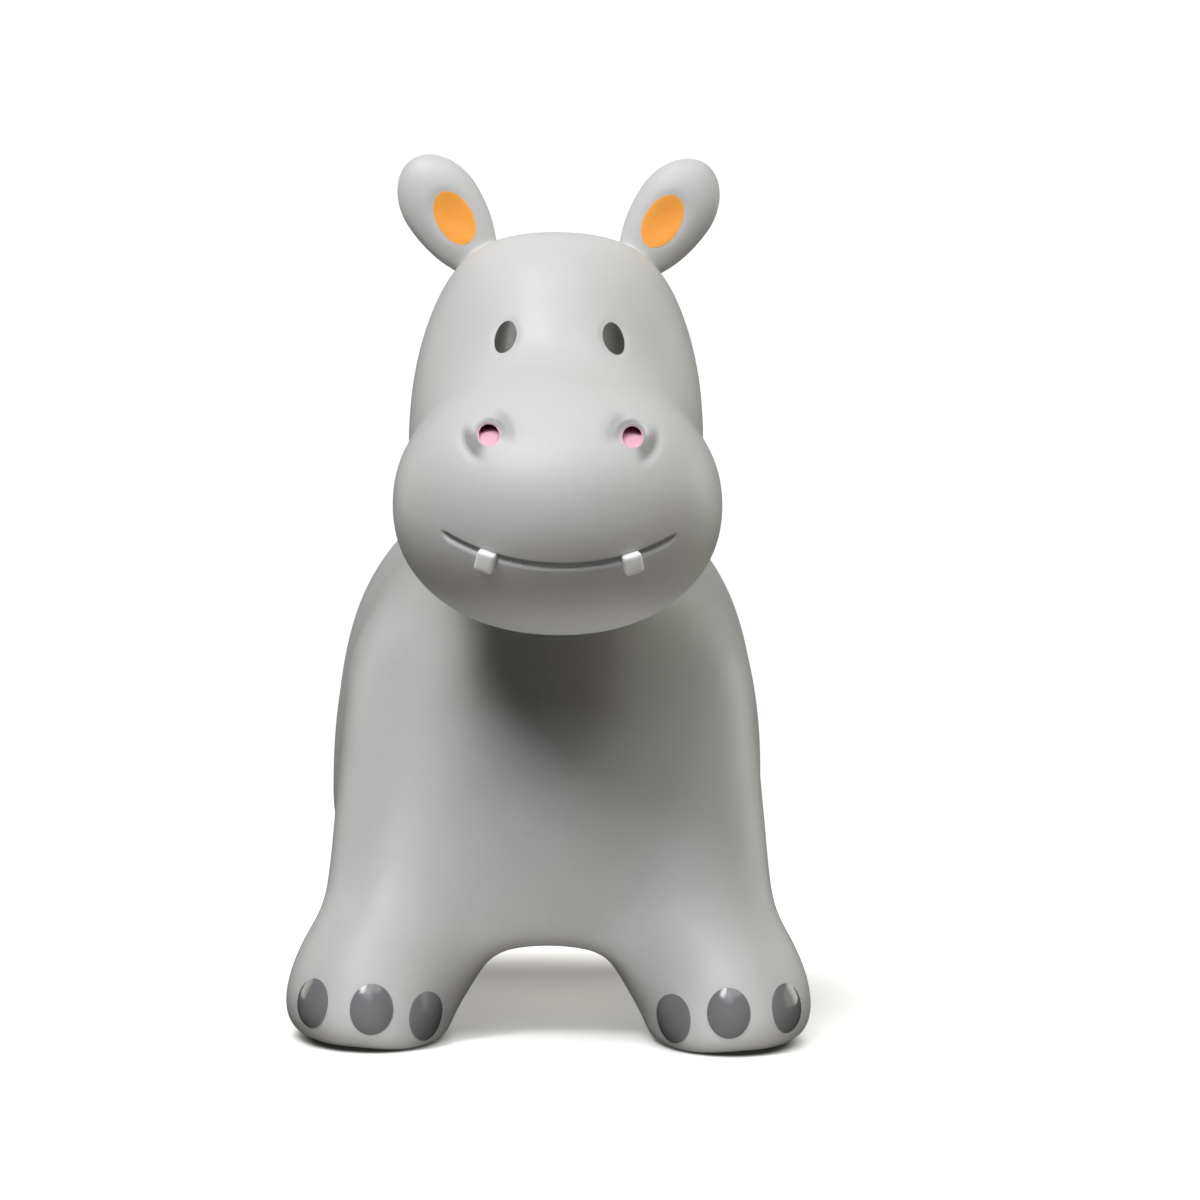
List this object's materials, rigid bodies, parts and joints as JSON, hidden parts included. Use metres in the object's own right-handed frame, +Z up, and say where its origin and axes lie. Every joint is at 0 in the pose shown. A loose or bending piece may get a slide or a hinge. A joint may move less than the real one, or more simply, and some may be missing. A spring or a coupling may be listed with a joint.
{
  "type": "animal hopper",
  "caption": "Hollow inflatable sit-on hopper toy shaped as a hippopotamus, with soft bending ears as hand grips, flat soles and a belly air valve with a pull-out stopper.",
  "frame": {"origin": "on the floor, below the middle of the toy's box", "axes": "+Z up, the animal faces -Y, its left side is at +X"},
  "size_m": [0.3012, 0.5452, 0.4984],
  "materials": {
    "skin": "satin soft vinyl, light warm grey, smooth",
    "inner_ear": "satin orange paint on the soft skin",
    "eye": "glossy dark grey paint on a raised oval",
    "nostril": "satin pink paint in a round hollow",
    "tooth": "glossy white paint on a raised block",
    "toenail": "glossy mid-grey paint on a raised oval",
    "valve": "plain off-white moulded vinyl"
  },
  "bodies": {
    "base": {"lower_body_skin": "skin", "flank_skin": "skin", "valve_seat": "valve", "front_left_toenail_1": "toenail", "front_left_toenail_2": "toenail", "front_left_toenail_3": "toenail", "front_right_toenail_1": "toenail", "front_right_toenail_2": "toenail", "front_right_toenail_3": "toenail", "rear_left_toenail_1": "toenail", "rear_left_toenail_2": "toenail", "rear_left_toenail_3": "toenail", "rear_right_toenail_1": "toenail", "rear_right_toenail_2": "toenail", "rear_right_toenail_3": "toenail"},
    "upper": {"upper_body_skin": "skin", "head_skin": "skin", "left_eye": "eye", "right_eye": "eye", "left_nostril": "nostril", "right_nostril": "nostril", "left_tooth": "tooth", "right_tooth": "tooth"},
    "left_ear": {"left_ear": "skin", "left_inner_ear": "inner_ear"},
    "right_ear": {"right_ear": "skin", "right_inner_ear": "inner_ear"},
    "valve_plug": {"valve_plug": "valve"}
  },
  "joints": [
    {"name": "bounce", "type": "slide", "parent": "base", "child": "upper", "axis": [0, 0, 1], "range_m": [-0.045, 0], "stiffness_N_per_m": 4000, "springref_m": 0.005, "deforming": ["flank_skin"]},
    {"name": "left_ear_bend", "type": "hinge", "parent": "upper", "child": "left_ear", "pos_m": [0.0505, -0.067, 0.45276], "axis": [0.8988, 0, -0.4384], "range_deg": [-35, 30], "stiffness_Nm_per_rad": 0.6},
    {"name": "right_ear_bend", "type": "hinge", "parent": "upper", "child": "right_ear", "pos_m": [-0.0505, -0.067, 0.45276], "axis": [0.8988, 0, 0.4384], "range_deg": [-35, 30], "stiffness_Nm_per_rad": 0.6},
    {"name": "valve_plug_pull", "type": "slide", "parent": "base", "child": "valve_plug", "axis": [0, 0, -1], "range_m": [0, 0.03]}
  ]
}
